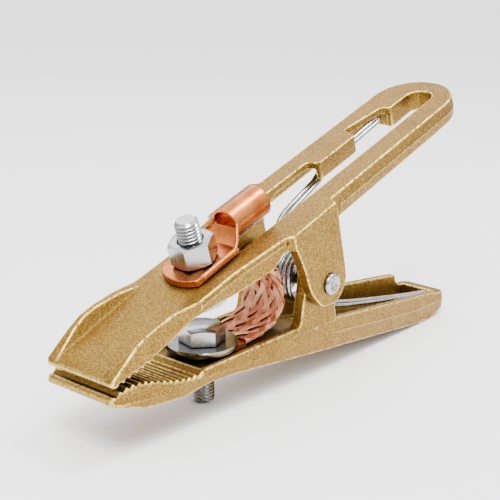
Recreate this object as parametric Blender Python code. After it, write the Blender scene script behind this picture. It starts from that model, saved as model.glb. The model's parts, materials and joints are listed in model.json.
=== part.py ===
"""Ground clamp for welding: two brass castings on one riveted hinge, with a torsion
spring, a copper braid and a cable lug.

The drawing is in millimetres in a drawing frame: +X towards the tail, +Z along the lower
clamp bolt, the lower washer's top at the origin.  Meshes are in metres.  The drawing frame
hangs on the empty rest_tilt, which stands the clamp on its bolt tip and its tail."""

import math

import bmesh
import bpy
import numpy as np
from mathutils import Matrix, Vector

MM = 0.001
GAP = 0.35                      # clearance between neighbouring pieces

# upper casting: top face line, z = TOP_Z + TOP_SLOPE * x
TOP_Z = 32.9
TOP_SLOPE = 0.2995
TOP_ANGLE = math.atan(TOP_SLOPE)
WEB = 5.2                       # web thickness, measured upright
JAW_HALF = 18.0                 # half width of both jaws
EAR_OUT, EAR_IN = 24.0, 19.0    # upper ears, outer and inner faces
HANDLE_HALF = 20.0
HANDLE_END_X = 148.6            # centre of the round handle end
RAIL_DEPTH = 10.8
SLOT_NEAR, SLOT_FAR = -9.2, 10.4
LIP_Y, LIP_DEPTH = 4.2, 8.5     # hanging lips that hold the spring legs
FLANGE = 3.5

# lower casting
LOWER_EAR_OUT, LOWER_EAR_IN = 18.4, 13.0
TAIL_HALF = 12.2
TAIL_X = 171.5
CHANNEL_WALL = 3.2
TRAY_Z = -4.9                   # floor under the braid's lower end
TOOTH_PITCH, TOOTH_DEPTH = 3.3, 1.5
TEETH_LOWER, TEETH_UPPER = 14, 6

# hinge
PIVOT = Vector((56.0, 0.0, 14.7))
RIVET_R, RIVET_HEAD_R, RIVET_HEAD = 4.0, 4.9, 1.7

# M10 hardware
BOLT_R, AF, HEAD_H, NUT_H = 5.0, 17.0, 6.4, 9.6
LOWER_BOLT_LENGTH = 27.0
UPPER_BOLT_LENGTH = 32.5
UPPER_BOLT_X = -2.2
WASHER_R, WASHER_T = 15.0, 2.5
SMALL_WASHER_R, SMALL_WASHER_T = 10.0, 2.0
HEAD_TURN, NUT_TURN = math.radians(196), math.radians(25)

# cable lug
BARREL_R, BARREL_BORE = 7.2, 5.7
BARREL_RISE = 8.0               # barrel axis above the casting's top face
BARREL_START, BARREL_END = 17.3, 38.0
PALM_T, PALM_HALF = 3.0, 11.2
PALM_END, PALM_END_HALF = 12.0, 10.6
NECK_START, NECK_INSET = 11.4, 0.15     # the neck grows out of the palm, just inside its faces
RAMP_TOP = 0.4                  # the neck's ramp ends this far above the barrel's axis

# spring and braid
WIRE_R, COIL_R, COIL_TURNS, COIL_PITCH = 1.15, 11.2, 3, 2.5
COIL_IN_Y = 1.6
LEG_HALF = 1.35                 # half the distance between a pair of legs
UPPER_LEGS = ((53.0, 3.4, 29.8), (61.0, 6.3, 37.2), (74.0, 7.2, 43.2), (86.0, 8.4, 47.6),
              (92.0, 9.7, 50.1), (102.0, 9.9, 54.8), (116.0, 9.9, 60.9), (136.0, 9.5, 68.3))
BRAID_HALF, BRAID_T = 11.5, 3.6
FERRULE_T = 2.0

BRASS = (0.62, 0.45, 0.22)
COPPER = (0.80, 0.36, 0.20)
BRAID_RED = (0.62, 0.24, 0.15)
ZINC = (0.78, 0.79, 0.80)
STEEL = (0.60, 0.61, 0.63)


def material(name, colour, roughness):
    found = bpy.data.materials.get(name)
    if found:
        return found
    made = bpy.data.materials.new(name)
    made.use_nodes = True
    shader = made.node_tree.nodes["Principled BSDF"]
    shader.inputs["Base Color"].default_value = (*colour, 1.0)
    shader.inputs["Metallic"].default_value = 1.0
    shader.inputs["Roughness"].default_value = roughness
    return made


def top_z(x):
    """Height of the upper casting's top face."""
    return TOP_Z + TOP_SLOPE * x


def plate(x, y=0.0, rise=0.0):
    """A point over the upper casting's top face: x along the drawing, rise off the face."""
    return Vector((x - rise * math.sin(TOP_ANGLE), y, top_z(x) + rise * math.cos(TOP_ANGLE)))


def fillet(points, step=math.radians(15)):
    """An outline from (a, b) or (a, b, radius) corners; a radius turns the corner into an arc."""
    result = []
    for index, corner in enumerate(points):
        here = Vector(corner[:2])
        radius = corner[2] if len(corner) > 2 else 0.0
        before = Vector(points[index - 1][:2]) - here
        after = Vector(points[(index + 1) % len(points)][:2]) - here
        if radius == 0.0:
            result.append(here)
            continue
        angle = before.angle(after)
        reach = min(radius / math.tan(angle / 2), 0.48 * before.length, 0.48 * after.length)
        radius = reach * math.tan(angle / 2)
        bisector = (before.normalized() + after.normalized()).normalized()
        centre = here + bisector * (radius / math.sin(angle / 2))
        start = here + before.normalized() * reach - centre
        turn = start.angle_signed(here + after.normalized() * reach - centre)
        steps = max(2, math.ceil(abs(turn) / step))
        for k in range(steps + 1):
            result.append(centre + Matrix.Rotation(-turn * k / steps, 2) @ start)
    return result


def mesh_object(name, mesh_bm):
    """A bmesh in millimetres becomes an object in metres."""
    bmesh.ops.recalc_face_normals(mesh_bm, faces=mesh_bm.faces)
    mesh = bpy.data.meshes.new(name)
    bmesh.ops.scale(mesh_bm, vec=(MM, MM, MM), verts=mesh_bm.verts)
    mesh_bm.to_mesh(mesh)
    mesh_bm.free()
    made = bpy.data.objects.new(name, mesh)
    bpy.context.collection.objects.link(made)
    return made


def loft(name, rings):
    """Equal rings of points joined one to the next, capped at both ends."""
    bm = bmesh.new()
    rows = [[bm.verts.new(point) for point in ring] for ring in rings]
    count = len(rows[0])
    for low, high in zip(rows, rows[1:]):
        for k in range(count):
            bm.faces.new((low[k], low[(k + 1) % count], high[(k + 1) % count], high[k]))
    bm.faces.new(rows[0])
    bm.faces.new(rows[-1])
    return mesh_object(name, bm)


def side_prism(name, corners, y_low, y_high):
    """An outline in X and Z, swept across Y."""
    outline = fillet(corners)
    return loft(name, [[(x, y, z) for x, z in outline] for y in (y_low, y_high)])


def plan_prism(name, corners, low, high):
    """An outline in X and Y on the upper casting's top face, swept along the face's normal."""
    outline = fillet(corners)
    return loft(name, [[plate(x, y, rise) for x, y in outline] for rise in (low, high)])


def upright_prism(name, corners, low, high):
    """An outline in X and Y, swept along Z."""
    outline = fillet(corners)
    return loft(name, [[(x, y, z) for x, y in outline] for z in (low, high)])


def turned(name, foot, axis, profile, sides=32, turn=0.0):
    """A solid of revolution: profile holds (radius, height) from foot along axis."""
    to_axis = Vector(axis).to_track_quat("Z", "X").to_matrix()
    rings = []
    for radius, height in profile:
        ring = []
        for k in range(sides):
            angle = turn + 2 * math.pi * k / sides
            spoke = Vector((radius * math.cos(angle), radius * math.sin(angle), height))
            ring.append(Vector(foot) + to_axis @ spoke)
        rings.append(ring)
    return loft(name, rings)


def combine(target, tool, operation):
    """Boolean of tool on target; the tool is used up."""
    modifier = target.modifiers.new("combine", "BOOLEAN")
    modifier.operation = operation
    modifier.object = tool
    bpy.context.view_layer.update()
    graph = bpy.context.evaluated_depsgraph_get()
    result = bpy.data.meshes.new_from_object(target.evaluated_get(graph))
    target.modifiers.clear()
    target.data = result
    bpy.data.objects.remove(tool)
    return target


def cut(target, *tools):
    for tool in tools:
        combine(target, tool, "DIFFERENCE")
    return target


def join(target, *tools):
    for tool in tools:
        combine(target, tool, "UNION")
    return target


def finish(piece, surface, parent, origin=(0, 0, 0), smooth=40):
    """Clean mesh, material, parent, and the object's origin set to a drawing point."""
    bm = bmesh.new()
    bm.from_mesh(piece.data)
    bmesh.ops.remove_doubles(bm, verts=bm.verts, dist=0.00001)
    bmesh.ops.dissolve_degenerate(bm, edges=bm.edges, dist=0.00001)
    bmesh.ops.triangulate(bm, faces=[f for f in bm.faces if len(f.verts) > 4])
    bm.to_mesh(piece.data)
    bm.free()
    shift = Vector(origin) * MM
    piece.data.transform(Matrix.Translation(-shift))
    piece.data.materials.clear()
    piece.data.materials.append(surface)
    piece.data.shade_smooth()
    piece.data.set_sharp_from_angle(angle=math.radians(smooth))
    piece.parent = parent
    piece.location = shift
    return piece


# ---------------------------------------------------------------- lower casting

def tooth_line(x):
    """Height of the lower teeth's tips: a low arch at the nose that falls to the tray rim."""
    if x < -58:
        return 5.0 - 0.03 * (x + 58) ** 2
    t = min(1.0, (x + 58) / 34)
    return 5.0 - 7.3 * t * t * (3 - 2 * t)


def lower_tooth_points(nose_x):
    """Tips and roots of the lower teeth from the nose to the tray."""
    points = []
    for k in range(TEETH_LOWER):
        tip = nose_x + 1.2 + k * TOOTH_PITCH
        root = tip + TOOTH_PITCH / 2
        points.append((tip, tooth_line(tip)))
        points.append((root, tooth_line(root) - TOOTH_DEPTH))
    return points


def lower_jaw(surface, parent):
    nose_x = -67.5
    teeth = lower_tooth_points(nose_x)
    side = [(nose_x, 1.6, 0.8)] + teeth + [
        (-19.0, -2.1), (66.0, -3.2), (124.0, -11.4, 60.0), (152.0, -15.0, 60.0),
        (TAIL_X - 1.0, -18.4, 3.0), (TAIL_X, -30.5, 5.0), (158.0, -34.2, 20.0),
        (138.0, -32.0, 40.0), (74.0, -21.3, 60.0), (3.0, -10.7, 60.0), (-14.0, -8.7, 30.0),
        (-30.0, -9.9, 30.0), (-50.0, -7.2, 40.0), (nose_x, -0.6, 1.6)]
    body = side_prism("lower_jaw", side, -25, 25)
    plan = [(nose_x - 1, -JAW_HALF, 3.0), (64, -JAW_HALF, 60.0), (TAIL_X, -TAIL_HALF, 5.0),
            (TAIL_X, TAIL_HALF, 5.0), (64, JAW_HALF, 60.0), (nose_x - 1, JAW_HALF, 3.0)]
    combine(body, upright_prism("plan", plan, -45, 20), "INTERSECT")

    # near wall of the handle is lower than the far wall
    cut(body, side_prism("near_wall_top", [(68.0, -6.0, 2.5), (66.0, 10.0), (180.0, 10.0),
                                           (180.0, -23.8), (161.0, -21.0, 20.0)], -25, -4))
    # handle channel, open at the top; its end wall and the tail of the far wall are lower
    inner = JAW_HALF - CHANNEL_WALL
    tail_inner = TAIL_HALF - CHANNEL_WALL
    channel = side_prism("channel", [(69.0, 20.0), (69.0, -14.0, 4.0), (138.0, -27.8, 40.0),
                                     (164.0, -30.0, 3.0), (166.0, 20.0)], -25, 25)
    channel_plan = [(69, -inner, 3.0), (166.5, -tail_inner, 3.0), (166.5, tail_inner, 3.0),
                    (69, inner, 3.0)]
    combine(channel, upright_prism("channel_plan", channel_plan, -45, 25), "INTERSECT")
    cut(body, channel)
    cut(body, side_prism("scoop", [(157.5, 0.0), (157.5, -21.6, 5.5), (180.0, -23.8),
                                   (180.0, 0.0)], -25, 25))

    # ears that carry the rivet, then the hollow between them
    for side_sign in (-1, 1):
        ear = [(37.0, -6.0), (42.5, -2.4, 5.0), (45.6, 14.7, 40.0), (46.0, 24.9, 9.5),
               (66.4, 24.9, 9.5), (67.0, 2.0, 20.0), (68.0, -7.0)]
        low, high = sorted((side_sign * LOWER_EAR_IN, side_sign * LOWER_EAR_OUT))
        join(body, side_prism("ear", ear, low, high))
    tray = side_prism("tray", [(-19.0, 5.0), (-17.5, TRAY_Z, 1.0), (38.0, TRAY_Z, 10.0),
                               (60.0, -10.5, 6.0), (70.0, -14.0), (70.0, 5.0)], -15.6, 15.6)
    narrow = [(-19.0, -15.6, 3.0), (33.0, -15.6, 3.0), (36.0, -LOWER_EAR_IN, 3.0),
              (70.5, -LOWER_EAR_IN), (70.5, LOWER_EAR_IN), (36.0, LOWER_EAR_IN, 3.0),
              (33.0, 15.6, 3.0), (-19.0, 15.6, 3.0)]
    combine(tray, upright_prism("tray_plan", narrow, -45, 25), "INTERSECT")
    cut(body, tray)

    # relief under the jaw, bolt hole and rivet holes
    relief = side_prism("relief", [(-44.0, -20.0), (-44.0, -6.2), (-14.0, -7.3),
                                   (-12.0, -20.0)], -13, 13)
    rear_relief = side_prism("relief", [(13.0, -25.0), (13.0, -9.4), (60.0, -15.2),
                                        (62.0, -25.0)], -13, 13)
    cut(body, relief, rear_relief)
    cut(body, turned("hole", (0, 0, -20), (0, 0, 1), [(BOLT_R + GAP, 0), (BOLT_R + GAP, 30)]))
    cut(body, turned("rivet_hole", PIVOT - Vector((0, 30, 0)), (0, 1, 0),
                     [(RIVET_R + GAP, 0), (RIVET_R + GAP, 60)]))
    return finish(body, surface, parent)


# ---------------------------------------------------------------- upper casting

def upper_tooth_points():
    """Roots and tips of the upper teeth, from the heel forward to the nose."""
    points = []
    for k in range(TEETH_UPPER, 0, -1):
        tip = -66.3 + (k - 0.5) * TOOTH_PITCH
        root = tip + TOOTH_PITCH / 2
        points.append((root, 7.3 + 0.25 * (root + 66)))
        points.append((tip, 5.8 + 0.25 * (tip + 66)))
    return points


def upper_jaw(surface, parent):
    crest = [(-67.4, 7.4, 1.2), (-66.6, 9.4, 1.5), (-50.0, 22.3, 30.0), (-32.0, 26.0, 30.0),
             (-20.0, 26.9, 12.0)]
    tail_x = 172.0
    beam = crest + [
        (tail_x, top_z(tail_x)), (tail_x, top_z(tail_x) - RAIL_DEPTH + 1.0),
        (145.0, top_z(145) - RAIL_DEPTH), (67.0, top_z(67) - RAIL_DEPTH - 0.5, 10.0),
        (36.0, top_z(36) - 9.0, 4.0), (28.0, 35.4, 4.0), (22.5, 29.0, 5.0), (3.0, 24.0, 60.0),
        (-14.0, 22.2, 30.0), (-24.0, 20.6, 20.0), (-42.7, 13.2, 60.0)]
    body = side_prism("upper_jaw", beam + upper_tooth_points() + [(-66.4, 6.2, 0.5)], -30, 30)
    step = 0.8
    plan = [(-70, -JAW_HALF, 3.0), (0, -JAW_HALF, 60.0), (28.5, -21.4, 10.0),
            (30.5, -EAR_OUT, step), (58.6, -EAR_OUT, step), (60.4, -HANDLE_HALF, step),
            (168.6, -HANDLE_HALF, 19.9), (168.6, HANDLE_HALF, 19.9),
            (60.4, HANDLE_HALF, step), (58.6, EAR_OUT, step), (30.5, EAR_OUT, step),
            (28.5, 21.4, 10.0), (0, JAW_HALF, 60.0), (-70, JAW_HALF, 3.0)]
    combine(body, plan_prism("plan", plan, -70, 60), "INTERSECT")

    # ears
    for side_sign in (-1, 1):
        ear = [(31.0, top_z(31) - 2), (31.5, 37.0, 6.0), (37.5, 25.8, 40.0), (42.5, 13.5, 14.0),
               (50.5, 5.0, 7.5), (62.0, 4.6, 9.0), (67.8, 14.0, 9.0), (65.6, 24.0, 30.0),
               (60.6, 45.0), (59.4, top_z(59.4) - 2)]
        low, high = sorted((side_sign * EAR_IN, side_sign * EAR_OUT))
        join(body, side_prism("ear", ear, low, high))

    # shallow valley between the crescent rims of the nose
    valley_low = [(-70.0, 6.9), (-63.0, 11.0), (-17.0, 27.9), (-17.0, 45.0), (-70.0, 45.0)]
    rings = []
    for sign in (-1, 1):
        rings.append([(x, sign * (13.0 if z < 30 else 28.0), z) for x, z in valley_low])
    cut(body, loft("valley", rings))

    # hollow under the web, wider between the ears
    hollow = side_prism("hollow", [(-24.0, 5.0), (-24.0, top_z(-24) - WEB),
                                   (62.0, top_z(62) - WEB), (64.0, 5.0)], -30, 30)
    inner = 13.6
    hollow_plan = [(-24, -inner, 3.0), (2, -inner, 20.0), (27, -16.8, 3.0), (29, -EAR_IN, 1.0),
                   (74, -EAR_IN), (74, EAR_IN), (29, EAR_IN, 1.0), (27, 16.8, 3.0),
                   (2, inner, 20.0), (-24, inner, 3.0)]
    combine(hollow, upright_prism("hollow_plan", hollow_plan, -10, 80), "INTERSECT")
    cut(body, hollow)

    # channel under the far rail for the spring legs; what stays inside it is the hanging lip
    leg_room = plan_prism("leg_room", [(58, LIP_Y + 2.6), (139.5, LIP_Y + 2.6),
                                       (139.5, 15.2, 2.0), (134, 16.8, 2.0), (58, 16.8)],
                          -20, -FLANGE)
    lip_trim = plan_prism("lip_trim", [(57, SLOT_NEAR + 1), (139, SLOT_NEAR + 1),
                                       (139, LIP_Y + 3.5), (57, LIP_Y + 3.5)],
                          -21, -LIP_DEPTH)
    near_room = plan_prism("near_room", [(64, -16.6, 2.0), (140, -16.6, 4.0), (140, -12.4, 2.0),
                                         (64, -12.4, 2.0)], -20, -FLANGE - 1.5)
    cut(body, leg_room, near_room)

    slot = [(12.5, SLOT_NEAR, 3.0), (159.0, SLOT_NEAR, 6.6), (159.0, LIP_Y, 6.6),
            (139.8, LIP_Y, 1.2), (138.2, 8.8, 2.0), (114.0, 12.6, 1.6), (110.6, LIP_Y, 1.2),
            (84.2, LIP_Y, 1.6), (82.4, SLOT_FAR, 2.0), (12.5, SLOT_FAR, 3.0)]
    cut(body, plan_prism("slot", slot, -30, 10))
    cut(body, lip_trim)

    # holes for the bolt and the rivet
    normal = plate(0, 0, 1) - plate(0)
    cut(body, turned("hole", plate(UPPER_BOLT_X, 0, -20), normal,
                     [(BOLT_R + GAP, 0), (BOLT_R + GAP, 40)]))
    cut(body, turned("rivet_hole", PIVOT - Vector((0, 30, 0)), (0, 1, 0),
                     [(RIVET_R + GAP, 0), (RIVET_R + GAP, 60)]))
    return finish(body, surface, parent, PIVOT)


# ---------------------------------------------------------------- hinge and spring

def pivot_rivet(surface, parent):
    half = EAR_OUT + GAP
    dome = [(RIVET_HEAD_R - 1.3, -RIVET_HEAD), (RIVET_HEAD_R - 0.4, -RIVET_HEAD + 0.4),
            (RIVET_HEAD_R, -RIVET_HEAD + 1.0), (RIVET_HEAD_R, 0)]
    profile = [(r, -half + h) for r, h in dome] + [(RIVET_R, -half), (RIVET_R, half)]
    profile += [(r, half - h) for r, h in reversed(dome)]
    rivet = turned("pivot_rivet", PIVOT, (0, 1, 0), profile)
    for sign in (-1, 1):
        end = PIVOT + Vector((0, sign * (half + RIVET_HEAD), 0))
        dimple = turned("dimple", end, (0, -sign, 0), [(2.6, -1), (2.2, 0), (1.2, 0.8)], 20)
        cut(rivet, dimple)
    return finish(rivet, surface, parent, PIVOT)


def coil_point(angle, y):
    return PIVOT + Vector((COIL_R * math.cos(angle), y, COIL_R * math.sin(angle)))


def smooth_run(points, steps):
    """Points of a Catmull-Rom curve through the given points."""
    points = [Vector(p) for p in points]
    ends = [2 * points[0] - points[1], *points, 2 * points[-1] - points[-2]]
    run = []
    for a, b, c, d in zip(ends, ends[1:], ends[2:], ends[3:]):
        for k in range(steps):
            t = k / steps
            run.append(0.5 * (2 * b + (c - a) * t + (2 * a - 5 * b + 4 * c - d) * t * t
                              + (3 * b - a - 3 * c + d) * t ** 3))
    return run + [points[-1]]


def spring_route():
    """Lower leg, coil, upper leg to the bend at its end, and back the same way."""
    start, stop = math.radians(250), math.radians(150 - 360 * COIL_TURNS)
    steps = 16 * COIL_TURNS + 4
    halves = []
    for sign in (-1, 1):
        outer_y = sign * (COIL_IN_Y + COIL_PITCH * (COIL_TURNS + 0.28))
        lower = smooth_run([(163.5, -5.4 + sign * 1.35, -23.9), (140, -4.2 + sign * 1.5, -19.9),
                            (94, -1.0 + sign * 3.2, -11.0), (68, sign * 7.4, -1.7),
                            coil_point(start, outer_y)], 4)
        coil = []
        for k in range(1, steps + 1):
            t = k / steps
            coil.append(coil_point(start + (stop - start) * t,
                                   outer_y + (sign * COIL_IN_Y - outer_y) * t))
        upper = smooth_run([coil[-1], *((x, y + sign * LEG_HALF, z) for x, y, z in UPPER_LEGS)], 4)
        halves.append(lower[:-1] + [coil_point(start, outer_y)] + coil[:-1] + upper)
    x, y, z = UPPER_LEGS[-1]
    bend = [Vector((x + 1.2, y + LEG_HALF * math.sin(a), z + 0.5)) for a in (-0.6, 0.6)]
    return halves[0] + bend + halves[1][::-1]


def tube(name, route, radius, sides=8):
    """A round bar along a route, its rings carried along without twist."""
    rings = []
    normal = Vector((0, 1, 0))
    for index, point in enumerate(route):
        ahead = route[min(index + 1, len(route) - 1)]
        behind = route[max(index - 1, 0)]
        tangent = (ahead - behind).normalized()
        normal = (normal - tangent * normal.dot(tangent)).normalized()
        side = tangent.cross(normal)
        rings.append([point + radius * (normal * math.cos(a) + side * math.sin(a))
                      for a in np.linspace(0, 2 * math.pi, sides, endpoint=False)])
    return loft(name, rings)


def torsion_spring(surface, parent):
    return finish(tube("torsion_spring", spring_route(), WIRE_R), surface, parent, PIVOT)


# ---------------------------------------------------------------- braid

def upper_seat(x, y, below):
    """A point under the upper web, below its lower face."""
    return plate(x, y, -WEB * math.cos(TOP_ANGLE) - below)


def strap(name, middle, half_width, thickness):
    """A flat bar whose middle line runs in X and Z."""
    rings = []
    for index, (x, _, z) in enumerate(middle):
        ahead = middle[min(index + 1, len(middle) - 1)]
        behind = middle[max(index - 1, 0)]
        along = (ahead - behind).normalized()
        across = Vector((-along.z, 0, along.x)) * thickness / 2
        here = Vector((x, 0, z))
        rings.append([here + across + Vector((0, -half_width, 0)),
                      here + across + Vector((0, half_width, 0)),
                      here - across + Vector((0, half_width, 0)),
                      here - across + Vector((0, -half_width, 0))])
    return loft(name, rings)


def braid_end_lower(surface, parent):
    z = TRAY_Z + GAP
    ring = 8.6
    plate_end = upright_prism("braid_end_lower", [(-ring, -ring, ring - 0.1), (3, -ring, 6),
                                                  (7, -11, 3), (15, -11), (15, 11), (7, 11, 3),
                                                  (3, ring, 6), (-ring, ring, ring - 0.1)],
                              z, -WASHER_T - GAP)
    cut(plate_end, turned("hole", (0, 0, -10), (0, 0, 1), [(BOLT_R + GAP, 0), (BOLT_R + GAP, 20)]))
    return finish(plate_end, surface, parent)


def braid_end_upper(surface, parent):
    face = -WEB * math.cos(TOP_ANGLE)
    plate_end = plan_prism("braid_end_upper", [(-16.5, -11, 3), (9.5, -11), (9.5, 11),
                                               (-16.5, 11, 3)],
                           face - GAP - FERRULE_T, face - GAP)
    normal = plate(0, 0, 1) - plate(0)
    cut(plate_end, turned("hole", plate(UPPER_BOLT_X, 0, -20), normal,
                          [(BOLT_R + GAP, 0), (BOLT_R + GAP, 40)]))
    return finish(plate_end, surface, parent, PIVOT)


def braid_strap(surface, parent):
    low_z = (TRAY_Z + GAP - WASHER_T - GAP) / 2
    start = Vector((15 + GAP, 0, low_z + 0.95))
    end = upper_seat(9.5 + GAP, 0, GAP + FERRULE_T / 2 + 0.8)
    middle = smooth_run([start, (24, 0, low_z + 1.1), (34.5, 0, 0.2), (39.6, 0, 6.6),
                         (39.4, 0, 15.5), (33.8, 0, 24.4), (22.0, 0, 27.6), end], 5)
    return finish(strap("braid_strap", middle, BRAID_HALF, BRAID_T), surface, parent)


# ---------------------------------------------------------------- bolts, washers, nut

def hexagon_blank(name, foot, axis, height, turn, chamfer_both=False):
    """A hexagon prism with its corners chamfered at one or both ends."""
    corner = AF / math.sqrt(3)
    blank = turned(name, foot, axis, [(corner, 0), (corner, height)], 6, turn)
    low = [(AF / 2 - 0.1, -0.05), (corner + 0.6, 0.95)] if chamfer_both else [(corner + 0.6, -0.05)]
    cone = turned("cone", foot, axis, low + [(corner + 0.6, height - 0.95),
                                             (AF / 2 - 0.1, height + 0.05)], 36)
    return combine(blank, cone, "INTERSECT")


def bolt(name, surface, parent, seat, axis, length, origin):
    """A hexagon bolt: seat is under the head's face, axis points from the seat to the tip."""
    head = hexagon_blank(name, seat, -Vector(axis), HEAD_H, HEAD_TURN)
    shank = turned("shank", seat - Vector(axis) * 1.0, axis,
                   [(BOLT_R, 0), (BOLT_R, length), (BOLT_R - 1.0, length + 1.0)])
    join(head, shank)
    return finish(head, surface, parent, origin)


def washer(name, surface, parent, foot, axis, radius, thickness, origin):
    ring = turned(name, foot, axis, [(radius - 0.3, 0), (radius, 0.3), (radius, thickness - 0.3),
                                     (radius - 0.3, thickness)], 48)
    hole = turned("hole", foot - Vector(axis) * 5, axis, [(BOLT_R + GAP, 0), (BOLT_R + GAP, 20)])
    return finish(cut(ring, hole), surface, parent, origin)


def lower_hardware(surface, parent):
    down = Vector((0, 0, -1))
    bolt("lower_bolt", surface, parent, Vector((0, 0, GAP)), down, LOWER_BOLT_LENGTH, (0, 0, 0))
    washer("lower_washer", surface, parent, Vector((0, 0, 0)), down, WASHER_R, WASHER_T,
           (0, 0, 0))


def upper_hardware(surface, parent):
    normal = (plate(0, 0, 1) - plate(0)).normalized()
    web = -WEB * math.cos(TOP_ANGLE)
    washer_top = web - GAP - FERRULE_T - GAP
    washer("upper_washer", surface, parent, plate(UPPER_BOLT_X, 0, washer_top), -normal,
           SMALL_WASHER_R, SMALL_WASHER_T, PIVOT)
    seat = plate(UPPER_BOLT_X, 0, washer_top - SMALL_WASHER_T - GAP)
    bolt("upper_bolt", surface, parent, seat, normal, UPPER_BOLT_LENGTH, PIVOT)
    nut_foot = plate(UPPER_BOLT_X, 0, GAP + PALM_T + GAP)
    nut = hexagon_blank("stud_nut", nut_foot, normal, NUT_H, NUT_TURN, True)
    cut(nut, turned("hole", nut_foot - normal * 5, normal, [(BOLT_R + GAP, 0),
                                                            (BOLT_R + GAP, 20)]))
    finish(nut, surface, parent, PIVOT)


# ---------------------------------------------------------------- cable lug

def neck_section(x, t):
    """The neck at x: a flat slab at t = 0 that becomes the barrel's lower half at t = 1."""
    count = 15
    radius = BARREL_R - 2 * NECK_INSET
    half = (1 - t) * (PALM_END_HALF - NECK_INSET) + t * radius
    floor, roof = GAP + NECK_INSET, GAP + PALM_T - NECK_INSET
    section = []
    for k in range(count):
        angle = math.pi * (k / (count - 1) - 0.5)
        y = (1 - t) * half * (2 * k / (count - 1) - 1) + t * radius * math.sin(angle)
        section.append(plate(x, y, (1 - t) * floor + t * (BARREL_RISE - radius * math.cos(angle))))
    top = (1 - t) * roof + t * (BARREL_RISE + RAMP_TOP)
    return section + [plate(x, half, top), plate(x, -half, top)]


def cable_lug(surface, parent):
    palm = plan_prism("cable_lug", [(-12.4, -PALM_HALF, 0.8), (-16.8, -6.0, 6.0),
                                    (-16.6, 4.5, 8.0), (-11.0, PALM_HALF, 8.0),
                                    (PALM_END, PALM_END_HALF), (PALM_END, -PALM_END_HALF)],
                      GAP, GAP + PALM_T)
    neck_end = BARREL_START + 2 * NECK_INSET
    neck = loft("neck", [neck_section(NECK_START + (neck_end - NECK_START) * t, t)
                         for t in np.linspace(0, 1, 6)])
    axis = (plate(1) - plate(0)).normalized()
    start = plate(BARREL_START, 0, BARREL_RISE)
    length = (BARREL_END - BARREL_START) / math.cos(TOP_ANGLE)
    barrel = turned("barrel", start, axis, [(BARREL_R, 0), (BARREL_R, length)], 40)
    bore = turned("bore", start - axis, axis, [(BARREL_BORE, 0), (BARREL_BORE, length + 2)], 40)
    cut(barrel, bore)
    join(palm, neck, barrel)
    normal = plate(0, 0, 1) - plate(0)
    cut(palm, turned("hole", plate(UPPER_BOLT_X, 0, -5), normal,
                     [(BOLT_R + GAP, 0), (BOLT_R + GAP, 20)]))
    return finish(palm, surface, parent, PIVOT)


# ---------------------------------------------------------------- assembly

def stand_on_floor(tilt, pieces):
    """Tip the drawing so that bolt tip and tail are level, then centre it over the origin."""
    tail_x, tail_z = 158.0, -34.0
    tip_z = GAP - LOWER_BOLT_LENGTH
    tilt.rotation_euler.y = -math.atan((tip_z - tail_z) / tail_x)
    bpy.context.view_layer.update()
    corners = [piece.matrix_world @ vertex.co for piece in pieces for vertex in piece.data.vertices]
    low = Vector([min(c[i] for c in corners) for i in range(3)])
    high = Vector([max(c[i] for c in corners) for i in range(3)])
    tilt.location = (-(low.x + high.x) / 2, 0, -low.z)


def main():
    for old in list(bpy.data.objects):
        bpy.data.objects.remove(old)
    tilt = bpy.data.objects.new("rest_tilt", None)
    bpy.context.collection.objects.link(tilt)

    brass = material("cast_brass", BRASS, 0.42)
    zinc = material("zinc_plate", ZINC, 0.28)
    copper = material("lug_copper", COPPER, 0.30)
    lower_jaw(brass, tilt)
    upper_jaw(brass, tilt)
    pivot_rivet(zinc, tilt)
    torsion_spring(material("spring_steel", STEEL, 0.25), tilt)
    braid_end_lower(copper, tilt)
    braid_end_upper(copper, tilt)
    braid_strap(material("braid_copper", BRAID_RED, 0.45), tilt)
    lower_hardware(zinc, tilt)
    upper_hardware(zinc, tilt)
    cable_lug(copper, tilt)
    stand_on_floor(tilt, [piece for piece in bpy.data.objects if piece.type == "MESH"])


main()
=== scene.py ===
import math

import bpy
import numpy as np
from mathutils import Matrix, Vector
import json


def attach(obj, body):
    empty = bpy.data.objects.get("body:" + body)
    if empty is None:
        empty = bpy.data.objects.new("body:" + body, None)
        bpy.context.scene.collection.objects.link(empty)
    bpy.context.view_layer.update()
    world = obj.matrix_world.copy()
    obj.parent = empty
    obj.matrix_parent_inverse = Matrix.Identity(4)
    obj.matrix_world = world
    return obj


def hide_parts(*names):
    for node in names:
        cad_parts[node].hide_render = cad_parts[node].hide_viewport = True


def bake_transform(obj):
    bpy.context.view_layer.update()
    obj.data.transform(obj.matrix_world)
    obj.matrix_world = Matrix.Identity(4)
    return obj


# The looks of the ground clamp.  Shapes are worked out in the CAD's drawing frame, in
# millimetres: +X to the tail, +Z along the lower bolt, the lower washer's top at zero.

MM = 0.001
GAP = 0.35
PIVOT = Vector((56.0, 0.0, 14.7))
LOWER_BOLT_LENGTH = 27.0
TAIL_AT, TAIL_DEPTH = 158.0, 34.0       # where the lower handle rests on the bench
TILT = -math.atan((TAIL_DEPTH + GAP - LOWER_BOLT_LENGTH) / TAIL_AT)
TOP_Z, TOP_SLOPE = 32.9, 0.2995         # upper casting's top face
TOP_ANGLE = math.atan(TOP_SLOPE)
WEB_T = 5.2 * math.cos(TOP_ANGLE)
HANDLE_FROM = 67.0                      # both handles lie behind this X
EARS_HALF = 24.0                        # half the width over the outer ears
UPPER_BOLT_X, UPPER_BOLT_LENGTH = -2.2, 32.4

# camera, in the drawing frame
CAMERA_AT = (-336.0, -310.7, 187.65)
CAMERA_AZIMUTH, CAMERA_ELEVATION, CAMERA_ROLL = (math.radians(v) for v in (49.72, 18.03, -0.16))
CAMERA_LENS = 86.4
SKY_LOW, SKY_HIGH = 0.6, 3.2            # studio brightness at the horizon and overhead

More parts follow.
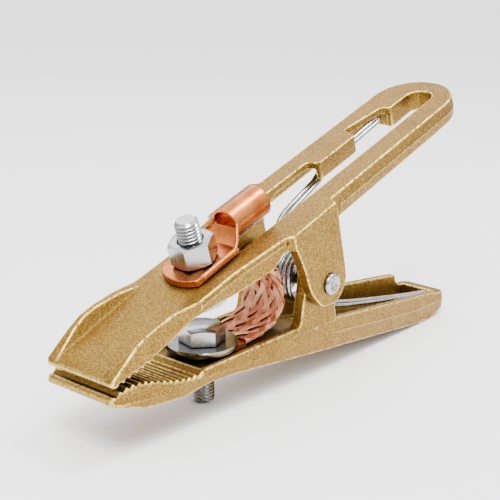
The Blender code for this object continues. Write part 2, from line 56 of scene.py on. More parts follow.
# M10 hardware
BOLT_R, THREAD_PITCH, THREAD_DEPTH, TIP_CHAMFER = 4.95, 1.5, 0.85, 1.2
AF, HEAD_H, NUT_H = 17.0, 6.4, 9.6
HEAD_TURN, NUT_TURN, COUNTERSINK = math.radians(196), math.radians(25), 0.7
FERRULE_T, SMALL_WASHER_T, PALM_T = 2.0, 2.0, 3.0

# cable lug
BARREL_R, BARREL_BORE, BARREL_RISE = 7.15, 5.7, 8.0
BARREL_START, BARREL_END = 17.3, 38.0
PALM_HALF, PALM_END, PALM_END_HALF = 11.1, 12.0, 10.5
NECK_START, NECK_END = 11.2, BARREL_START + 0.4

# spring
WIRE_R, COIL_R, COIL_TURNS, COIL_PITCH, COIL_IN_Y = 1.15, 11.2, 3, 2.5, 1.6
LEG_HALF = 1.35
UPPER_LEGS = ((53.0, 3.4, 29.8), (61.0, 6.3, 37.2), (74.0, 7.2, 43.2), (86.0, 8.4, 47.6),
              (92.0, 9.7, 50.1), (102.0, 9.9, 54.8), (116.0, 9.9, 60.9), (136.0, 9.5, 68.3))

# surface of the castings and the lug: grid in metres, rounds of softening
CASTING_VOXEL, LUG_VOXEL, SOFTEN_ROUNDS = 0.00048, 0.00025, 4

# underside of the lower casting's side walls, (X, Z)
LOWER_SOLE = ((-67, -1), (-50, -7), (-30, -9.7), (-14, -8.7), (3, -10.7), (74, -21.3), (138, -32),
              (171, -31))

# small casting pits in the near side, below the top face
PITS = ((29.9, -22.2, 42.8), (29.3, -22.0, 38.9), (30.9, -22.6, 39.4))
PIT_R, PIT_DEPTH = 1.1, 0.7

# braid
BRAID_HALF, BRAID_T, BRAID_WIRE = 11.5, 3.6, 0.21
CARRIERS, WIRES_EACH, FILL = 12, 6, 0.66
LAY = 0.68                              # turns that a wire makes round the strap, end to end
WIRE_SIDES = 6

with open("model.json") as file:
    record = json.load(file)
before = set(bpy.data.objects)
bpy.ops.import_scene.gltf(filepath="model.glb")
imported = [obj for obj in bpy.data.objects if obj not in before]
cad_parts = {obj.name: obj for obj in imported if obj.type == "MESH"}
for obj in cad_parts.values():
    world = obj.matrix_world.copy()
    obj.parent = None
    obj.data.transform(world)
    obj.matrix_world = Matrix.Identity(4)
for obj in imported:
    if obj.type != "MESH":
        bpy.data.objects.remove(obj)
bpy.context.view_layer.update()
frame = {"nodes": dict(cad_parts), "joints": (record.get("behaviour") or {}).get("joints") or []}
hinge = Vector(frame["joints"][0]["pos_m"])
TURN = Matrix.Rotation(TILT, 3, "Y")
DRAWING = Matrix.Translation(hinge - TURN @ PIVOT * MM) @ TURN.to_4x4() @ Matrix.Scale(MM, 4)
random = np.random.default_rng(7)


# ---------------------------------------------------------------- shape helpers

def plate(x, y=0.0, rise=0.0):
    """A point over the upper casting's top face."""
    return Vector((x - rise * math.sin(TOP_ANGLE), y,
                   TOP_Z + TOP_SLOPE * x + rise * math.cos(TOP_ANGLE)))


PLATE_NORMAL = (plate(0, 0, 1) - plate(0)).normalized()
PLATE_ALONG = (plate(1) - plate(0)).normalized()


def mesh_piece(name, vertices, faces, sharp=35):
    """A mesh object from drawing-frame points."""
    mesh = bpy.data.meshes.new(name)
    mesh.from_pydata([tuple(DRAWING @ Vector(v)) for v in vertices], [], faces)
    mesh.update()
    piece = bpy.data.objects.new(name, mesh)
    bpy.context.collection.objects.link(piece)
    shade(piece, sharp)
    return piece


def shade(piece, sharp):
    piece.data.shade_smooth()
    piece.data.set_sharp_from_angle(angle=math.radians(sharp))


def soften(piece, voxel):
    """Rebuilds the surface on a fine grid and rounds its edges."""
    remesh = piece.modifiers.new("grid", "REMESH")
    remesh.mode = "VOXEL"
    remesh.voxel_size = voxel
    smooth = piece.modifiers.new("soften", "SMOOTH")
    smooth.factor = 0.5
    smooth.iterations = SOFTEN_ROUNDS
    graph = bpy.context.evaluated_depsgraph_get()
    baked = bpy.data.meshes.new_from_object(piece.evaluated_get(graph))
    piece.modifiers.clear()
    piece.data = baked
    piece.data.shade_smooth()


def loft_faces(ring_count, size, first=0, closed=False):
    """Quads between rings of size points, with end caps unless the run closes on itself."""
    faces = []
    spans = ring_count if closed else ring_count - 1
    for r in range(spans):
        low = first + r * size
        high = first + ((r + 1) % ring_count) * size
        for k in range(size):
            n = (k + 1) % size
            faces.append((low + k, low + n, high + n, high + k))
    if not closed:
        faces.append(tuple(range(first + size - 1, first - 1, -1)))
        last = first + (ring_count - 1) * size
        faces.append(tuple(range(last, last + size)))
    return faces


def loft_piece(name, shells, sharp=35):
    """One piece from several lofts; each is (rings, closed)."""
    vertices, faces = [], []
    for rings, closed in shells:
        faces += loft_faces(len(rings), len(rings[0]), len(vertices), closed)
        vertices += [point for ring in rings for point in ring]
    return mesh_piece(name, vertices, faces, sharp)


def turned_rings(foot, axis, radius_at, heights, sides=48, turn=0.0):
    """Rings about an axis; radius_at(angle, index) gives a point's radius and its lift."""
    to_axis = Vector(axis).to_track_quat("Z", "X").to_matrix()
    rings = []
    for index, height in enumerate(heights):
        ring = []
        for k in range(sides):
            angle = turn + 2 * math.pi * k / sides
            r, h = radius_at(angle - turn, index)
            spoke = Vector((r * math.cos(angle), r * math.sin(angle), height + h))
            ring.append(Vector(foot) + to_axis @ spoke)
        rings.append(ring)
    return rings


def smooth_run(points, steps):
    """Points of a Catmull-Rom curve through the given points."""
    points = [Vector(p) for p in points]
    ends = [2 * points[0] - points[1], *points, 2 * points[-1] - points[-2]]
    run = []
    for a, b, c, d in zip(ends, ends[1:], ends[2:], ends[3:]):
        for k in range(steps):
            t = k / steps
            run.append(0.5 * (2 * b + (c - a) * t + (2 * a - 5 * b + 4 * c - d) * t * t
                              + (3 * b - a - 3 * c + d) * t ** 3))
    return run + [points[-1]]


def bar_rings(route, radius, sides, normal=(0, 1, 0)):
    """Rings of a round bar along a route, carried along without twist."""
    rings = []
    normal = Vector(normal)
    for index, point in enumerate(route):
        tangent = (route[min(index + 1, len(route) - 1)] - route[max(index - 1, 0)]).normalized()
        normal = (normal - tangent * normal.dot(tangent)).normalized()
        side = tangent.cross(normal)
        rings.append([point + radius * (normal * math.cos(a) - side * math.sin(a))
                      for a in np.linspace(0, 2 * math.pi, sides, endpoint=False)])
    return rings


# ---------------------------------------------------------------- materials

class Nodes:
    """Short calls for building a material's node tree."""

    def __init__(self, name, metallic):
        self.material = bpy.data.materials.new(name)
        self.material.use_nodes = True
        self.tree = self.material.node_tree
        self.shader = self.tree.nodes["Principled BSDF"]
        self.shader.inputs["Metallic"].default_value = metallic
        self.place = self.add("ShaderNodeTexCoord").outputs["Object"]

    def add(self, kind, inputs=None, **settings):
        node = self.tree.nodes.new(kind)
        for key, value in settings.items():
            setattr(node, key, value)
        for key, value in (inputs or {}).items():
            socket = node.inputs[key]
            if isinstance(value, bpy.types.NodeSocket):
                self.tree.links.new(value, socket)
            else:
                socket.default_value = value
        return node

    def noise(self, scale, detail=4.0, roughness=0.6, stretch=None):
        place = self.place
        if stretch:
            mapped = self.add("ShaderNodeMapping", {"Vector": place, "Scale": stretch})
            place = mapped.outputs["Vector"]
        found = self.add("ShaderNodeTexNoise", {"Vector": place, "Scale": scale,
                                                "Detail": detail, "Roughness": roughness})
        return found.outputs["Fac"]

    def ramp(self, value, low, high, out_low=0.0, out_high=1.0):
        found = self.add("ShaderNodeMapRange", {"Value": value, "From Min": low, "From Max": high,
                                                "To Min": out_low, "To Max": out_high})
        return found.outputs["Result"]

    def mix(self, amount, a, b):
        found = self.add("ShaderNodeMix", data_type="RGBA")
        for socket, value in zip((found.inputs[0], found.inputs[6], found.inputs[7]),
                                 (amount, a, b)):
            if isinstance(value, bpy.types.NodeSocket):
                self.tree.links.new(value, socket)
            else:
                socket.default_value = value
        return found.outputs[2]

    def combine(self, operation, a, b):
        return self.add("ShaderNodeMath", {0: a, 1: b}, operation=operation).outputs["Value"]

    def crevice(self, distance):
        """One in the open, towards zero in corners closer than the distance."""
        return self.add("ShaderNodeAmbientOcclusion", {"Distance": distance},
                        samples=8).outputs["AO"]

    def bump(self, height, strength, distance, normal=None):
        inputs = {"Height": height, "Strength": strength, "Distance": distance}
        if normal:
            inputs["Normal"] = normal
        return self.add("ShaderNodeBump", inputs).outputs["Normal"]

    def finish(self, colour, roughness, normal):
        for key, value in (("Base Color", colour), ("Roughness", roughness), ("Normal", normal)):
            self.tree.links.new(value, self.shader.inputs[key])
        return self.material


def rgb(r, g, b):
    return (r, g, b, 1.0)


def cast_brass():
    """Tumbled sand-cast brass: fine grain, edges brightened partly by polish and partly as a painted
    highlight, painted shade in hollows and corners.
    """
    n = Nodes("cast_brass_grain", 1.0)
    grain = n.noise(1150.0, 3.0, 0.7)
    speck = n.noise(1700.0, 2.0, 0.5)
    patch = n.noise(90.0, 4.0, 0.6)
    point = n.add("ShaderNodeNewGeometry").outputs["Pointiness"]
    edge = n.combine("MULTIPLY", n.ramp(point, 0.509, 0.535), n.ramp(n.noise(700.0), 0.38, 0.52))
    painted_hollow_shade = n.ramp(point, 0.495, 0.455)
    shadow = n.crevice(0.009)
    base = n.mix(n.ramp(patch, 0.35, 0.65), rgb(0.185, 0.098, 0.013), rgb(0.240, 0.131, 0.020))
    base = n.mix(n.ramp(grain, 0.46, 0.62), base, rgb(0.31, 0.178, 0.032))
    base = n.mix(n.ramp(speck, 0.56, 0.68, 0.0, 0.6), base, rgb(0.66, 0.44, 0.12))
    base = n.mix(n.ramp(grain, 0.47, 0.34, 0.0, 0.6), base, rgb(0.10, 0.050, 0.010))
    # painted shade: darker in hollows and in corners
    base = n.mix(painted_hollow_shade, base, rgb(0.07, 0.036, 0.01))
    base = n.mix(n.ramp(shadow, 0.8, 0.2, 0.0, 0.75), base, rgb(0.06, 0.032, 0.009))
    # sharp edges brighter yellow: partly polish, partly a painted highlight
    base = n.mix(edge, base, rgb(0.95, 0.68, 0.19))
    rough = n.combine("SUBTRACT", n.ramp(grain, 0.3, 0.7, 0.52, 0.38), n.ramp(edge, 0, 1, 0, 0.12))
    normal = n.bump(grain, 0.45, 0.00022)
    normal = n.bump(n.noise(380.0, 3.0, 0.6), 0.25, 0.0004, normal)
    return n.finish(base, rough, normal)


def lug_copper(name, dull):
    """Drawn and pressed copper with faint scratches."""
    n = Nodes(name, 1.0)
    streak = n.noise(260.0, 5.0, 0.65, (0.25, 3.0, 3.0))
    patch = n.noise(120.0, 3.0, 0.5)
    shadow = n.crevice(0.010)
    base = n.mix(n.ramp(patch, 0.35, 0.65), rgb(0.44, 0.118, 0.028), rgb(0.60, 0.200, 0.050))
    base = n.mix(n.ramp(streak, 0.52, 0.72, 0.0, 0.5), base, rgb(0.28, 0.055, 0.014))
    base = n.mix(n.ramp(shadow, 0.5, 0.1, 0.0, 0.95), base, rgb(0.16, 0.016, 0.004))
    rough = n.ramp(streak, 0.3, 0.7, 0.20 + dull, 0.34 + dull)
    return n.finish(base, rough, n.bump(streak, 0.12, 0.0001))


def braid_copper():
    """Plaited copper wire; each wire has its own shade."""
    n = Nodes("braid_wire_copper", 1.0)
    own = n.add("ShaderNodeAttribute", attribute_name="wire_shade").outputs["Fac"]
    patch = n.noise(220.0, 3.0, 0.6)
    shadow = n.crevice(0.003)
    base = n.mix(own, rgb(0.52, 0.15, 0.065), rgb(1.0, 0.60, 0.36))
    base = n.mix(n.ramp(patch, 0.4, 0.7, 0.0, 0.45), base, rgb(0.66, 0.22, 0.12))
    base = n.mix(n.ramp(shadow, 0.65, 0.1, 0.0, 0.8), base, rgb(0.18, 0.03, 0.015))
    rough = n.ramp(patch, 0.3, 0.7, 0.26, 0.42)
    return n.finish(base, rough, n.bump(n.noise(1800.0, 2.0), 0.15, 0.00008))


def zinc_plate(name, light):
    """Zinc plating with slight cloudiness."""
    n = Nodes(name, 1.0)
    cloud = n.noise(300.0, 4.0, 0.6)
    fine = n.noise(1400.0, 3.0, 0.6)
    base = n.mix(n.ramp(cloud, 0.35, 0.65), rgb(0.74 * light, 0.76 * light, 0.76 * light),
                 rgb(0.90 * light, 0.91 * light, 0.90 * light))
    shadow = n.crevice(0.004)
    base = n.mix(n.ramp(shadow, 0.85, 0.25, 0.0, 0.9), base, rgb(0.05, 0.052, 0.05))
    rough = n.ramp(cloud, 0.3, 0.7, 0.12, 0.26)
    return n.finish(base, rough, n.bump(fine, 0.10, 0.0001))


def spring_steel():
    """Drawn wire, bright with long faint lines."""
    n = Nodes("spring_steel_drawn", 1.0)
    line = n.noise(500.0, 4.0, 0.6, (0.3, 3.0, 2.0))
    base = n.mix(n.ramp(line, 0.35, 0.65), rgb(0.30, 0.31, 0.32), rgb(0.60, 0.61, 0.62))
    rough = n.ramp(line, 0.3, 0.7, 0.14, 0.26)
    return n.finish(base, rough, n.bump(line, 0.08, 0.0001))


def place_piece(piece, body, slot, surface, *nodes):
    """Material, body and the CAD nodes that the piece stands for; slot is not used."""
    piece.data.materials.clear()
    piece.data.materials.append(surface)
    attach(piece, body)
    if nodes:
        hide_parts(*nodes)
    return piece


# ---------------------------------------------------------------- castings

def parting_ridge(spots, upper):
    """Widens a casting's outer sides towards the parting line at half their depth."""
    x, y, z = spots.T
    if upper:
        rise = (z - TOP_Z - TOP_SLOPE * x) * math.cos(TOP_ANGLE)
        handle = (x > HANDLE_FROM) & (np.abs(y) > 15)
        live = handle | ((x > -20) & (x < 28) & (np.abs(y) > 16.5))
        reach = np.where(handle, 5.2, 2.3)
        off = np.abs(rise - np.where(handle, -5.4, -2.4))
    else:
        top = np.where(x < 66, -2.6 - 0.006 * (x + 19), -4.8 - 0.17 * (x - 66))
        top = np.where(x < -19, 0.5, top)
        low = np.interp(x, *zip(*LOWER_SOLE))
        live = (np.abs(y) > 9) & (x < 168)
        reach = np.maximum(2.0, (top - low) / 2)
        off = np.abs(z - (top + low) / 2)
    flash = np.where(x > HANDLE_FROM, 0.16, 0.0) * np.exp(-(off / 0.45) ** 2)
    swell = np.where(live, 0.55 * np.clip(1 - off / reach, 0, 1) + flash, 0.0)
    return swell * np.sign(y)


def vertex_array(mesh, field):
    flat = np.empty(len(mesh.vertices) * 3)
    mesh.vertices.foreach_get(field, flat)
    return flat.reshape(-1, 3)


def casting(node):
    """The CAD casting with the soft edges and parting ridge of a tumbled sand casting."""
    upper = node == "upper_jaw"
    piece = bpy.data.objects.new(node + "_casting", frame["nodes"][node].data.copy())
    bpy.context.collection.objects.link(piece)
    soften(piece, CASTING_VOXEL)
    spots = vertex_array(piece.data, "co")
    across = vertex_array(piece.data, "normal")[:, 1]
    to_drawing = np.array(DRAWING.inverted())
    drawn = spots @ to_drawing[:3, :3].T + to_drawing[:3, 3]
    outer_side = (np.abs(across) > 0.5) & (np.sign(across) == np.sign(drawn[:, 1]))
    spots[:, 1] += MM * np.where(outer_side, parting_ridge(drawn, upper), 0)
    for pit in PITS if upper else ():
        near = np.linalg.norm(drawn - np.array(pit), axis=1)
        spots[:, 1] += MM * PIT_DEPTH * np.clip(1 - near / PIT_R, 0, 1)
    piece.data.vertices.foreach_set("co", spots.ravel())
    piece.data.update()
    return piece


# ---------------------------------------------------------------- hardware

def hexagon_rings(foot, axis, height, bore=None, turn=HEAD_TURN):
    """A hexagon head or nut: chamfered top, and with a bore also a chamfered foot."""
    flat = AF / 2
    crown = flat * 0.97
    slope = math.tan(math.radians(28))

    def edge(angle):
        return flat / math.cos((angle % (math.pi / 3)) - math.pi / 6)

    def wall_low(angle, _):
        r = edge(angle)
        return (r, max(0.0, r - crown) * slope) if bore else (r, 0.0)

    def wall_high(angle, _):
        r = edge(angle)
        return r, -max(0.0, r - crown) * slope

    def ring(shape, at):
        return turned_rings(foot, axis, shape, [at], 96, turn)[0]

    def circle(radius):
        return lambda angle, index: (radius, 0.0)

    rings = [ring(circle(crown), 0.0)] if bore else []
    rings += [ring(wall_low, 0.0), ring(wall_high, height), ring(circle(crown), height)]
    if bore:
        mouth = circle(bore + COUNTERSINK)
        rings += [ring(mouth, height), ring(circle(bore), height - COUNTERSINK),
                  ring(circle(bore), COUNTERSINK), ring(mouth, 0.0)]
    return rings


def thread_rings(foot, axis, length):
    """A helical V thread, tapered at its tip."""
    count = int(length / THREAD_PITCH * 10)
    heights = [length * k / count for k in range(count + 1)]

    def radius(angle, index):
        height = heights[index]
        phase = (height / THREAD_PITCH - angle / (2 * math.pi)) % 1.0
        wave = abs(2 * phase - 1)
        depth = THREAD_DEPTH * min(1.0, max(0.0, wave * 1.25 - 0.12))
        taper = max(0.0, height - length + TIP_CHAMFER) / TIP_CHAMFER * 1.1
        return min(BOLT_R - depth, BOLT_R - taper), 0.0

    return turned_rings(foot, axis, radius, heights, 48)


def bolt(name, seat, axis, length):
    """Hexagon bolt; axis points from the head's seat to the tip."""
    axis = Vector(axis)
    head = hexagon_rings(seat, -axis, HEAD_H)
    shank = thread_rings(seat - axis * 0.5, axis, length + 0.5)
    return loft_piece(name, [(head, False), (shank, False)])


def rivet(name):
    """Pin with two closed heads, each domed with a dimple."""
    half = EARS_HALF + GAP
    dome = [(0.05, -0.95), (0.7, -0.9), (0.9, -0.55), (1.6, -0.5), (2.1, -1.0), (2.5, -1.45),
            (2.9, -1.68), (3.5, -1.65), (4.1, -1.45), (4.6, -1.05), (4.85, -0.55), (4.85, 0.0),
            (4.0, 0.0)]
    profile = [(r, -half + h) for r, h in dome] + [(r, half - h) for r, h in reversed(dome)]
    rings = turned_rings(PIVOT, (0, 1, 0), lambda a, i: (profile[i][0], profile[i][1]),
                         [0.0] * len(profile), 48)
    return loft_piece(name, [(rings, False)], 50)


# ---------------------------------------------------------------- cable lug

def neck_ring(x, t):
    """The neck at x: a slab at t = 0 that becomes the barrel's lower half at t = 1."""
    radius = BARREL_R - 0.15
    half = (1 - t) * (PALM_END_HALF - 0.1) + t * radius
    floor, roof = GAP + 0.1, GAP + PALM_T - 0.12
    ring = []
    for k in np.linspace(-1, 1, 41):
        y = (1 - t) * half * k + t * radius * math.sin(k * math.pi / 2)
        rise = (1 - t) * floor + t * (BARREL_RISE - radius * math.cos(k * math.pi / 2))
        ring.append(plate(x, y, rise))
    for k in np.linspace(1, -1, 25):
        dish = 0.9 * math.sin(math.pi * t) + 0.5 * t
        top = (1 - t) * roof + t * (BARREL_RISE + 0.4) - dish * (1 - k ** 4)
        ring.append(plate(x, k * half, top))
    return ring


def lug():
    """Copper lug: a flattened tube for the palm, a ramp, and the round barrel for the cable."""
    front = smooth_run([(PALM_END, PALM_END_HALF, 0), (2.0, PALM_HALF, 0), (-6.5, PALM_HALF, 0),
                        (-12.4, 8.9, 0), (-15.4, 3.9, 0), (-16.3, -1.4, 0), (-15.6, -6.4, 0),
                        (-13.6, -10.3, 0)], 6)
    outline = [*front, Vector((-12.9, -11.0, 0)), Vector((PALM_END, -PALM_END_HALF, 0))]
    palm = [[plate(p.x, p.y, rise) for p in outline] for rise in (GAP + 0.02, GAP + PALM_T - 0.05)]
    neck = [neck_ring(NECK_START + (NECK_END - NECK_START) * t, t) for t in np.linspace(0, 1, 20)]
    length = (BARREL_END - BARREL_START) / math.cos(TOP_ANGLE)
    start = plate(BARREL_START, 0, BARREL_RISE)
    profile = [(BARREL_R, 0.0), (BARREL_R, length), (BARREL_BORE, length), (BARREL_BORE, 0.0)]
    barrel = turned_rings(start, PLATE_ALONG, lambda a, i: profile[i], [0.0] * 4, 64)
    shells = [(palm, False), (neck, False), (barrel, True)]
    for sign in (-1, 1):
        # walls of the tube that stand up beside the ramp, and the folded edges of the palm
        wall = smooth_run([plate(10.6, sign * 10.0, 3.0), plate(13.2, sign * 9.2, 5.0),
                           plate(15.6, sign * 7.6, 7.3), plate(17.9, sign * 6.4, 9.6)], 5)
        fold = [plate(x, sign * (9.45 + 0.025 * (12 - x)), GAP + 1.6) for x in (-9.5, 0, 11.5)]
        shells += [(bar_rings(wall, 0.75, 12), False), (bar_rings(fold, 1.62, 20), False)]
    piece = loft_piece("cable_lug_formed", shells)
    soften(piece, LUG_VOXEL)
    return piece


# ---------------------------------------------------------------- spring

def coil_point(angle, y):
    return PIVOT + Vector((COIL_R * math.cos(angle), y, COIL_R * math.sin(angle)))


def spring_route():
    """Lower leg, coil, upper leg to the bend at its end, and back the same way."""
    start, stop = math.radians(250), math.radians(150 - 360 * COIL_TURNS)
    steps = 40 * COIL_TURNS
    halves = []
    for sign in (-1, 1):
        outer_y = sign * (COIL_IN_Y + COIL_PITCH * (COIL_TURNS + 0.28))
        lower = smooth_run([(163.5, -5.4 + sign * 1.35, -23.9), (140, -4.2 + sign * 1.5, -19.9),
                            (94, -1.0 + sign * 3.2, -11.0), (68, sign * 7.4, -1.7),
                            coil_point(start, outer_y)], 8)
        coil = []
        for k in range(1, steps + 1):
            t = k / steps
            coil.append(coil_point(start + (stop - start) * t,
                                   outer_y + (sign * COIL_IN_Y - outer_y) * t))
        upper = smooth_run([coil[-1], *((x, y + sign * LEG_HALF, z) for x, y, z in UPPER_LEGS)], 8)
        halves.append(lower[:-1] + [coil_point(start, outer_y)] + coil[:-1] + upper)
    x, y, z = UPPER_LEGS[-1]
    bend = [Vector((x + 1.2, y + LEG_HALF * math.sin(a), z + 0.5)) for a in (-0.6, 0.6)]
    return halves[0] + bend + halves[1][::-1]


def spring():
    return loft_piece("torsion_spring_wire", [(bar_rings(spring_route(), WIRE_R, 14), False)], 60)


# ---------------------------------------------------------------- braid

def braid_middle():
    """The strap's middle line, evenly spaced, with the normal that points out of the bend."""
    end = plate(9.85, 0, -WEB_T - GAP - FERRULE_T / 2 - 0.8)
    run = smooth_run([(15.35, 0, -2.75), (24, 0, -2.6), (34.5, 0, 0.2), (39.6, 0, 6.6),
                      (39.4, 0, 15.5), (33.8, 0, 24.4), (22.0, 0, 27.6), end], 12)
    points = np.array([tuple(p) for p in run])
    length = np.concatenate([[0], np.cumsum(np.linalg.norm(np.diff(points, axis=0), axis=1))])
    even = np.linspace(0, length[-1], 100)
    x = np.interp(even, length, points[:, 0])
    z = np.interp(even, length, points[:, 2])
    dx, dz = np.gradient(x, even), np.gradient(z, even)
    return even, x, z, dz, -dx


def round_strap(middle, u, over):
    """A wire's route: u counts turns round the strap, over lifts the wire out of the plait."""
    _, x, z, nx, nz = middle
    turn = (u % 1.0) * 4.0
    side = np.where(turn < 2.0, 1.0, -1.0)
    across = np.where(turn < 2.0, turn - 1.0, 3.0 - turn)
    thick = np.sqrt(np.clip(1 - np.abs(across) ** 7, 0, 1))
    a = across * (BRAID_HALF - 0.75)
    a = a + np.sign(across) * np.abs(across) ** 12 * over
    h = side * thick * (BRAID_T / 2 - 0.72 + over)
    return [Vector(point) for point in zip(x + nx * h, a, z + nz * h)]


def braid():
    """A flat tubular plait: bundles of wires wind both ways round the strap, two over two."""
    middle = braid_middle()
    s = middle[0]
    lay = LAY / s[-1]
    shells, shades = [], []
    for way in (-1, 1):
        for carrier in range(CARRIERS):
            tone = random.uniform(0.15, 0.85)
            for wire in range(WIRES_EACH):
                shift = (wire - (WIRES_EACH - 1) / 2) / WIRES_EACH / CARRIERS * FILL
                wobble = random.normal(0, 0.0012, 6)
                u = carrier / CARRIERS + shift + way * lay * s
                u = u + np.interp(s, np.linspace(0, s[-1], 6), wobble)
                weave = math.pi * (carrier + way * CARRIERS * lay * s) + way * math.pi / 4
                over = way * np.sin(weave) * 0.45 + random.normal(0, 0.06)
                route = round_strap(middle, u, over)
                shells.append((bar_rings(route, BRAID_WIRE, WIRE_SIDES, (0.3, 1, 0.2)), False))
                shades.append(min(1.0, max(0.0, tone + random.normal(0, 0.12))))
    piece = loft_piece("braid_wires", shells, 60)
    attribute = piece.data.attributes.new("wire_shade", "FLOAT", "POINT")
    shades = np.repeat(np.array(shades, np.float32), len(s) * WIRE_SIDES)
    attribute.data.foreach_set("value", shades)
    return piece


def braid_core():
    """The plait's inside: a sheet between its two layers of wires which has no wire tone, so it takes
    the darkest one as painted shade.
    """
    s, x, z, nx, nz = braid_middle()
    rings = []
    for i in range(0, len(s), 3):
        ring = []
        for k in range(24):
            angle = 2 * math.pi * k / 24
            a = math.copysign(abs(math.cos(angle)) ** 0.5, math.cos(angle)) * (BRAID_HALF - 1.3)
            h = math.copysign(abs(math.sin(angle)) ** 0.5, math.sin(angle)) * 0.75
            ring.append((x[i] + nx[i] * h, a, z[i] + nz[i] * h))
        rings.append(ring)
    return loft_piece("braid_core_wires", [(rings, False)], 60)


# ---------------------------------------------------------------- build

def build_clamp():
    brass = cast_brass()
    zinc = zinc_plate("zinc_plate_bright", 0.5)
    # the washers get a darker copy of the zinc: painted shade for the dark that they reflect
    washer_zinc_painted_shade = zinc_plate("zinc_plate_painted_shade", 0.36)
    copper = lug_copper("lug_copper_drawn", 0.0)
    pressed = lug_copper("pressed_copper", 0.12)
    wire = braid_copper()
    lower, upper = "lower_arm", "upper_arm"

    place_piece(casting("lower_jaw"), lower, "cast_brass", brass, "lower_jaw")
    place_piece(casting("upper_jaw"), upper, "cast_brass", brass, "upper_jaw")
    place_piece(rivet("pivot_rivet_headed"), lower, "zinc_plate", zinc, "pivot_rivet")

    down = Vector((0, 0, -1))
    place_piece(bolt("lower_bolt_threaded", Vector((0, 0, GAP)), down, LOWER_BOLT_LENGTH),
                lower, "zinc_plate", zinc, "lower_bolt")
    washer_top = -WEB_T - GAP - FERRULE_T - GAP
    seat = plate(UPPER_BOLT_X, 0, washer_top - SMALL_WASHER_T - GAP)
    place_piece(bolt("upper_bolt_threaded", seat, PLATE_NORMAL, UPPER_BOLT_LENGTH), upper, "zinc_plate",
                zinc, "upper_bolt")
    nut_seat = plate(UPPER_BOLT_X, 0, GAP + PALM_T + GAP)
    nut_rings = hexagon_rings(nut_seat, PLATE_NORMAL, NUT_H, BOLT_R, NUT_TURN)
    nut = loft_piece("stud_nut_tapped", [(nut_rings, True)])
    place_piece(nut, upper, "zinc_plate", zinc, "stud_nut")
    place_piece(lug(), upper, "lug_copper", copper, "cable_lug")

    for node, surface in (("lower_washer", washer_zinc_painted_shade), ("upper_washer", washer_zinc_painted_shade),
                          ("braid_end_lower", pressed), ("braid_end_upper", pressed)):
        piece = frame["nodes"][node]
        piece.data.materials.clear()
        piece.data.materials.append(surface)

    # the spring and the braid between the arms, which bend with the hinge on the real clamp, are
    # attached to no body here
    coil = spring()
    coil.data.materials.append(spring_steel())
    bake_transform(coil)
    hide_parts("torsion_spring")
    for piece in (braid(), braid_core()):
        piece.data.materials.append(wire)
        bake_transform(piece)
        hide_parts("braid_strap")


# ---------------------------------------------------------------- stage, light, camera

def area_light(name, location, target, size, power):
    light = bpy.data.lights.new(name, "AREA")
    light.shape = "RECTANGLE"
    light.size, light.size_y = size
    light.energy = power
    lamp = bpy.data.objects.new(name, light)
    bpy.context.collection.objects.link(lamp)
    lamp.location = location
    lamp.rotation_euler = (Vector(target) - Vector(location)).to_track_quat("-Z", "Y").to_euler()


def stage():
    floor_mesh = bpy.data.meshes.new("floor")
    half = 3.0
    floor_mesh.from_pydata([(-half, -half, 0), (half, -half, 0), (half, half, 0), (-half, half, 0)],
                           [], [(0, 1, 2, 3)])
    floor = bpy.data.objects.new("floor", floor_mesh)
    floor.location.z = -0.0002
    bpy.context.collection.objects.link(floor)
    n = Nodes("floor_pale", 0.0)
    base = n.mix(n.noise(3.0, 2.0), rgb(0.96, 0.96, 0.96), rgb(0.98, 0.98, 0.98))
    floor_mesh.materials.append(n.finish(base, n.ramp(n.noise(8.0), 0.0, 1.0, 0.85, 0.95),
                                         n.bump(n.noise(60.0), 0.02, 0.0001)))


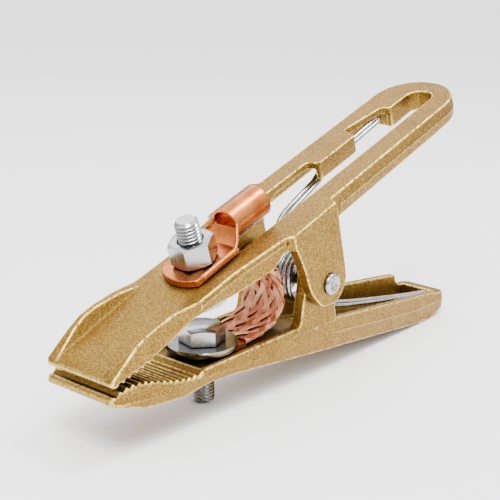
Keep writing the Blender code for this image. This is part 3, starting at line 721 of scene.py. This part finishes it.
def studio():
    """White surroundings, brighter overhead and a little brighter on the near side, and lamps."""
    world = bpy.data.worlds.new("studio")
    bpy.context.scene.world = world
    world.use_nodes = True
    tree = world.node_tree
    background = tree.nodes["Background"]
    place = tree.nodes.new("ShaderNodeTexCoord").outputs["Generated"]
    parts = []
    for way, low, high, out_low, out_high in (((0, 0, 1), 0.0, 0.9, SKY_LOW, SKY_HIGH),
                                              ((0.5, -0.85, 0), -0.9, 0.9, 0.85, 1.0)):
        along = tree.nodes.new("ShaderNodeVectorMath")
        along.operation = "DOT_PRODUCT"
        along.inputs[1].default_value = way
        tree.links.new(place, along.inputs[0])
        ramp = tree.nodes.new("ShaderNodeMapRange")
        for key, value in zip(("From Min", "From Max", "To Min", "To Max"),
                              (low, high, out_low, out_high)):
            ramp.inputs[key].default_value = value
        tree.links.new(along.outputs["Value"], ramp.inputs["Value"])
        parts.append(ramp.outputs["Result"])
    both = tree.nodes.new("ShaderNodeMath")
    both.operation = "MULTIPLY"
    for socket, part in zip(both.inputs, parts):
        tree.links.new(part, socket)
    background.inputs["Color"].default_value = rgb(1.0, 1.0, 1.0)
    tree.links.new(both.outputs["Value"], background.inputs["Strength"])
    target = (0.0, 0.0, 0.05)
    area_light("key", (-0.45, -0.25, 0.75), target, (0.36, 0.36), 9.0)
    area_light("rim", (0.35, 0.6, 0.6), target, (0.6, 0.3), 1.2)
    area_light("strip", (0.32, -0.2, 0.85), target, (0.22, 0.22), 5.0)
    area_light("fill", (0.1, -0.9, 0.25), target, (0.6, 0.4), 0.9)


def camera():
    azimuth, elevation = CAMERA_AZIMUTH, CAMERA_ELEVATION
    right = Vector((math.cos(azimuth), -math.sin(azimuth), 0))
    ahead = Vector((math.sin(azimuth) * math.cos(elevation),
                    math.cos(azimuth) * math.cos(elevation), -math.sin(elevation)))
    up = right.cross(ahead)
    axes = Matrix((right, up, -ahead)).transposed()
    data = bpy.data.cameras.new("camera")
    data.lens = CAMERA_LENS
    data.sensor_width = 36.0
    data.clip_start = 0.01
    made = bpy.data.objects.new("camera", data)
    bpy.context.collection.objects.link(made)
    place = (TURN @ axes @ Matrix.Rotation(CAMERA_ROLL, 3, "Z")).to_4x4()
    place.translation = DRAWING @ Vector(CAMERA_AT)
    made.matrix_world = place
    bpy.context.scene.camera = made


build_clamp()
stage()
studio()
camera()
